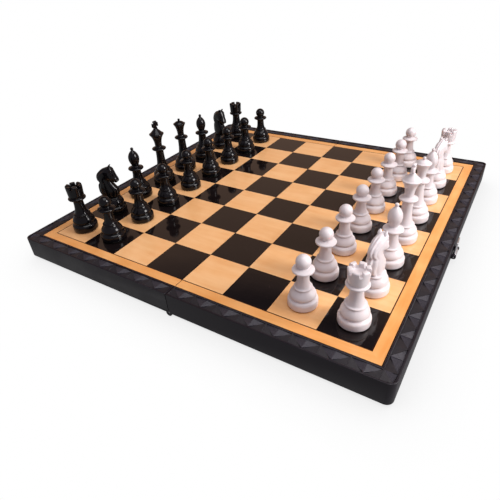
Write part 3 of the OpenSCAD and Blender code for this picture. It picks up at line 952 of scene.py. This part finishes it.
def strip(stops, point, first_is_inner=True):
    """Outward and inward facets between the stops. point(u, side) is where the stop u meets the
    inner (0) or outer (1) edge. Stops alternate: an outward triangle's tip is on the inner edge.
    Inward ones are hatched where the first stop is an inner one, and outward ones otherwise."""
    outward, inward = [], []
    low, mid, high = (np.array([0, 0, drop]) for drop in (CORNER_DROP, FOOT_DROP, TIP))
    inner_first = stops[0 if first_is_inner else 1::2]
    plain, ribbed = (2, 0), (HATCH_LINES, HATCH_DEPTH)
    outward_lines, inward_lines = (plain, ribbed) if first_is_inner else (ribbed, plain)
    for u, v in zip(stops[:-1], stops[1:]):
        near, far = (u, v) if u in inner_first else (v, u)
        outward.append(wedge(point(near, 0) - high, point(far, 1) - low, point(near, 1) - mid,
                             *outward_lines))
        inward.append(wedge(point(far, 1) - high, point(near, 0) - low, point(far, 0) - mid,
                            *inward_lines))
    outward += [bar(point(u, 0) - high, point(u, 1) - mid, 0.5 * MM) for u in inner_first]
    return outward, inward


print("a hatched facet has", HATCH_LINES, "lines")

# %% Facets on both halves
def facets(name, sign, body):
    """All facets of one half: two strips from the seam to the corners, one along the outer edge,
    and the two triangles that meet in each corner."""
    smooth, hatched = [], []
    end_stops = np.linspace(grid_x + RAIL, inner_x, 17)
    side_stops = np.r_[-inner_y, np.arange(-15, 16) * PITCH / 2, inner_y]
    runs = [(end_stops, lambda u, k, e=e: np.array([u, e * (outer_y if k else inner_y), frame_top]), True)
            for e in (-1, 1)]
    runs.append((side_stops, lambda u, k: np.array([outer_x if k else inner_x, u, frame_top]), False))
    for stops, point, first_is_inner in runs:
        pair = (smooth, hatched) if first_is_inner else (hatched, smooth)
        for gathered, made in zip(pair, strip(stops, point, first_is_inner)):
            gathered.extend(made)
    low, mid, high = (np.array([0, 0, drop]) for drop in (CORNER_DROP, FOOT_DROP, TIP))
    for edge in (-1, 1):
        tip = np.array([inner_x, edge * inner_y, frame_top]) - high
        corner = np.array([outer_x - 1.1 * MM, edge * (outer_y - 1.1 * MM), frame_top]) - low
        smooth.append(wedge(tip, corner, np.array([inner_x, edge * outer_y, frame_top]) - mid, 2, 0))
        hatched.append(wedge(tip, corner, np.array([outer_x, edge * inner_y, frame_top]) - mid,
                             HATCH_LINES, HATCH_DEPTH))
    for part, shells, finish in (("smooth", smooth, smooth_plastic), ("hatched", hatched, hatched_plastic)):
        points, faces = joined(*shells)
        points[:, 0] *= sign
        piece = make_piece(name + "_" + part, points, faces, finish, body)
        shape = bmesh.new()
        shape.from_mesh(piece.data)
        bmesh.ops.recalc_face_normals(shape, faces=shape.faces)
        shape.to_mesh(piece.data)
        shape.free()
        piece.data.set_sharp_from_angle(angle=math.radians(4))
        print(piece.name, len(piece.data.polygons), "faces")


for side, sign in (("white", 1), ("black", -1)):
    facets(side + "_facets", sign, side + "_half")

# %% [markdown]
# Pins and clasp
#
# The hinge pins and the clasp's pin are cut wire with chamfered ends: an outline spun
# about the wire's own axis. The clasp is a stamped and plated lever, so a copy of the
# CAD lever gets its edges rounded.

# %% Wire pins
def wire_pin(node, body, radius, finish):
    """Turned wire along the node's box, laid along Y, with chamfered ends."""
    low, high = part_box(node)
    length, edge = high.y - low.y, radius * 0.25
    outline = np.array([[0, 0], [radius - edge, 0], [radius, edge], [radius, length - edge],
                        [radius - edge, length], [0, length]])
    points, faces = turned(outline, 32)
    centre = (low + high) / 2
    laid = np.column_stack([points[:, 0] + centre.x, points[:, 2] + low.y, -points[:, 1] + centre.z])
    piece = make_piece(node + "_wire", laid, faces, finish, body, [node], sharp=30)
    return piece


for node in ("near_hinge_pin", "far_hinge_pin", "clasp_pin"):
    low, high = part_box(node)
    wire_pin(node, "white_half", (high.z - low.z) / 2, pin_steel)
print("three pins")

# %% Clasp lever
def softened_lever(node, name, body, finish, width):
    """Merged copy of the lever with all its outer edges rounded."""
    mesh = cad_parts[node].data.copy()
    mesh.name = name
    shape = bmesh.new()
    shape.from_mesh(mesh)
    bmesh.ops.remove_doubles(shape, verts=shape.verts, dist=2e-6)
    bmesh.ops.dissolve_limit(shape, angle_limit=math.radians(0.5), verts=shape.verts, edges=shape.edges)
    edges = [e for e in shape.edges if is_outer_corner(e)]
    bmesh.ops.bevel(shape, geom=edges, offset=width, segments=3, profile=0.5, affect="EDGES",
                    clamp_overlap=True)
    shape.to_mesh(mesh)
    shape.free()
    mesh.polygons.foreach_set("use_smooth", np.ones(len(mesh.polygons), bool))
    mesh.set_sharp_from_angle(angle=math.radians(28))
    mesh.materials.clear()
    mesh.materials.append(finish)
    piece = bpy.data.objects.new(name, mesh)
    bpy.context.scene.collection.objects.link(piece)
    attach(piece, body)
    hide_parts(node)
    return piece


softened_lever("clasp_lever", "clasp_plate", "clasp", clasp_metal, 0.0002)
print("clasp lever rounded")

# %% [markdown]
# White table and studio light
#
# The set lies on a white table whose far edge is lost in white. The table isn't a lit
# surface: for every ray but the camera's it glows a flat grey, a painted bounce light
# that lights the case from below. The camera sees it only as a painted shadow, grey
# mixed in by ambient occlusion next to the case and clear elsewhere, so a half that
# folds down past it stays in view. A bright window to the right gives each black
# piece its tall highlight, and leaves the left of each white piece in mauve shade. The
# room is dim and warm where the glossy squares mirror it, low behind the black side, and
# darker above that.

# %% Table
table_mesh = bpy.data.meshes.new("table")
table_mesh.from_pydata([(-3, -3, 0), (3, -3, 0), (3, 3, 0), (-3, 3, 0)], [], [(0, 1, 2, 3)])
table = bpy.data.objects.new("table", table_mesh)
bpy.context.scene.collection.objects.link(table)
table_finish, table_tree, _, _ = new_material("table_white")
# Painted bounce light: for every ray but the camera's the table is a grey emitter, a glow standing in for
# light bounced off a white table.
bounce = add(table_tree, "Emission", {"Color": (0.33, 0.33, 0.33, 1)}).outputs[0]
# Painted shadow: where ambient occlusion finds the case close, the camera sees a grey emitter instead of the
# clear table.
openness = add(table_tree, "AmbientOcclusion", {"Distance": 0.04}, samples=12).outputs["AO"]
shade = remap(table_tree, openness, 0.35, 0.96, 0.24, 0)
clear = add(table_tree, "BsdfTransparent").outputs[0]
shaded = add(table_tree, "Emission", {"Color": linear(120, 116, 120)}).outputs[0]
seen_table = add(table_tree, "MixShader", {0: shade, 1: clear, 2: shaded}).outputs[0]
from_camera = add(table_tree, "LightPath").outputs["Is Camera Ray"]
whole_table = add(table_tree, "MixShader", {0: from_camera, 1: bounce, 2: seen_table})
fill(table_tree, table_tree.nodes["Material Output"].inputs["Surface"], whole_table.outputs[0])
table_mesh.materials.append(table_finish)
table.visible_shadow = False

# %% Room
world = bpy.data.worlds.new("studio")
bpy.context.scene.world = world
world.use_nodes = True
sky = world.node_tree
sky.nodes.clear()
direction = add(sky, "TexCoord").outputs["Generated"]
axes = add(sky, "SeparateXYZ", {"Vector": direction})
mirrored_way = add(sky, "VectorMath", {0: direction, 1: (-0.574, 0.819, 0)}, operation="DOT_PRODUCT")
mirrored = remap(sky, mirrored_way.outputs["Value"], 0.1, 0.4, 0, 1)
tilted = calc(sky, "SUBTRACT", axes.outputs[2], calc(sky, "MULTIPLY", axes.outputs[0], 0.2))
above = remap(sky, tilted, 0.68, 0.74, 0, 1)
room = mix(sky, mirrored, (0.31, 0.28, 0.32, 1), mix(sky, above, (0.44, 0.28, 0.2, 1), (0.07, 0.06, 0.07, 1)))
lit = add(sky, "Background", {"Color": room, "Strength": 1.0}).outputs[0]
seen = add(sky, "Background", {"Color": (1, 1, 1, 1), "Strength": 1.0}).outputs[0]
is_camera = add(sky, "LightPath").outputs["Is Camera Ray"]
both = add(sky, "MixShader", {0: is_camera, 1: lit, 2: seen})
fill(sky, add(sky, "OutputWorld").inputs["Surface"], both.outputs[0])


# %% Window and top light
def soft_box(name, place, aim, size, power, colour=(1, 1, 1)):
    """Rectangular soft light at place that faces aim."""
    data = bpy.data.lights.new(name, "AREA")
    data.shape, data.size, data.size_y = "RECTANGLE", *size
    data.energy, data.color = power, colour
    lamp = bpy.data.objects.new(name, data)
    bpy.context.scene.collection.objects.link(lamp)
    lamp.location = place
    lamp.rotation_euler = (Vector(aim) - Vector(place)).to_track_quat("-Z", "Y").to_euler()
    return lamp


soft_box("window", (0.8, 0.08, 0.45), (0, 0, 0.02), (0.34, 0.45), 8, (1, 0.97, 0.96))
soft_box("top", (0.25, -0.1, 1.3), (0, 0, 0), (1.0, 1.0), 8)
bpy.context.scene.view_settings.view_transform = "Standard"
bpy.context.scene.view_settings.look = "None"
